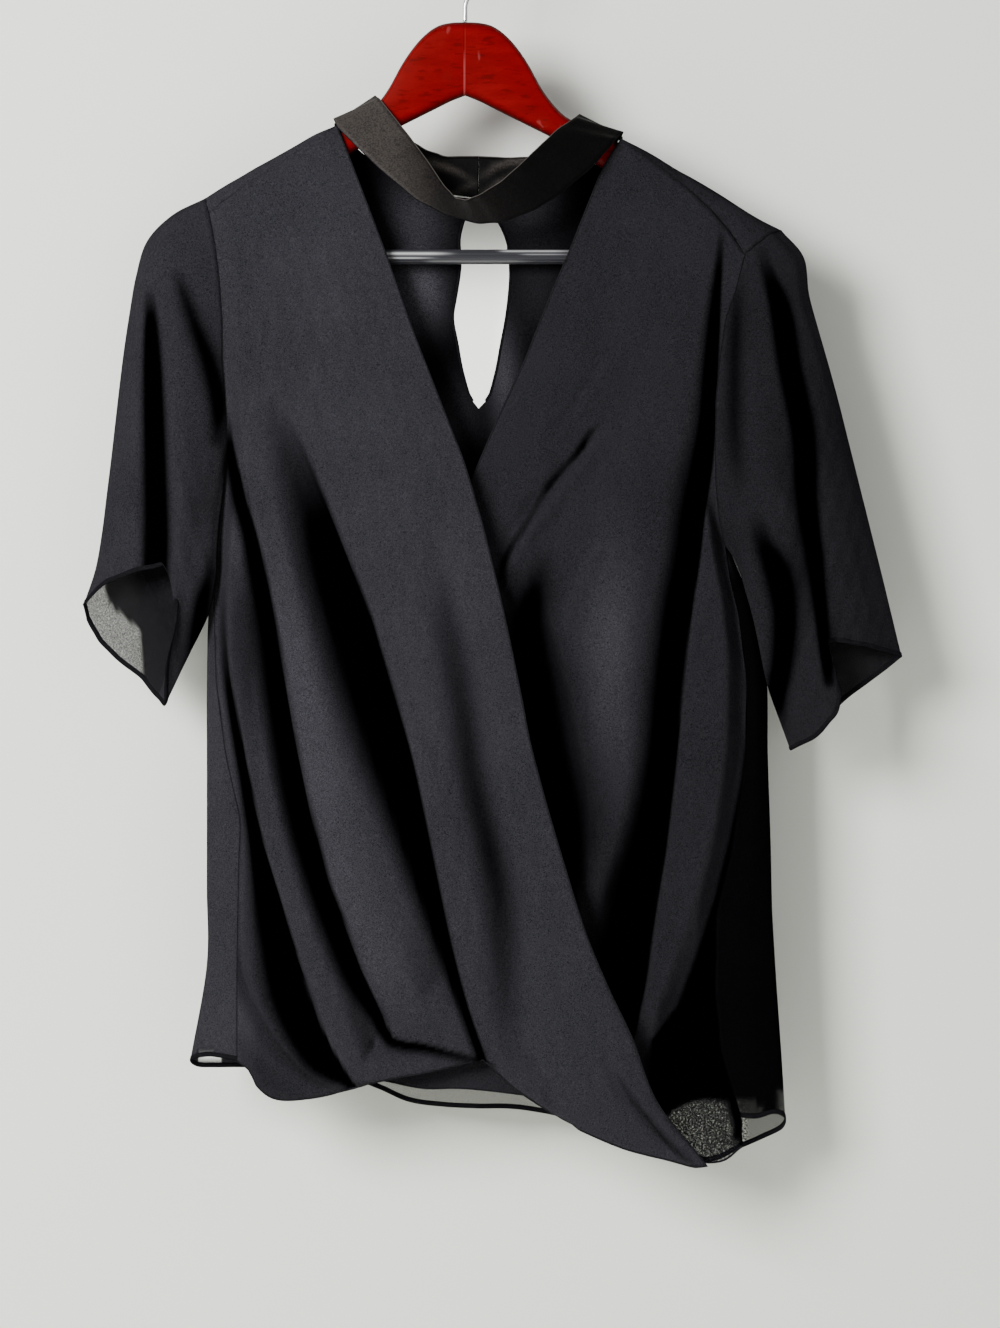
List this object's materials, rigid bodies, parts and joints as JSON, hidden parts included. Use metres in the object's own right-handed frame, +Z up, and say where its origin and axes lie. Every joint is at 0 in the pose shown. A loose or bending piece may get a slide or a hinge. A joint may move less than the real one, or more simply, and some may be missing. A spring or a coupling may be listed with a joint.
{
  "type": "v-neck blouse on a hanger",
  "caption": "Crossed, draped v-neck blouse with a choker band, back keyhole and elbow sleeves, hung on a wooden hanger.",
  "frame": {"origin": "inner top of the hanger's hook, where it rests on a rod or nail", "axes": "+Z up; the front of the blouse faces -Y; +X runs to the wearer's left, the viewer's right"},
  "size_m": [0.5523, 0.06, 0.8306],
  "materials": {
    "over_cloth": "matt sheer crepe",
    "under_cloth": "matt sheer crepe",
    "back_cloth": "matt sheer crepe",
    "sleeve_cloth": "matt sheer crepe",
    "band_cloth": "satin-faced crepe, doubled",
    "button": "polished",
    "loop_thread": "twisted thread",
    "red_wood": "red-stained and lacquered",
    "ribbed_bar": "ribbed sleeve",
    "steel": "bright plated wire"
  },
  "bodies": {
    "root": {"front_right_over": "over_cloth", "front_left_under": "under_cloth", "back": "back_cloth", "sleeve_right": "sleeve_cloth", "sleeve_left": "sleeve_cloth", "neck_band": "band_cloth", "neck_button_top": "button", "neck_button_low": "button", "button_loop_top": "loop_thread", "button_loop_low": "loop_thread", "hanger_wood": "red_wood", "hanger_bar": "ribbed_bar", "hanger_hook": "steel"}
  },
  "joints": []
}
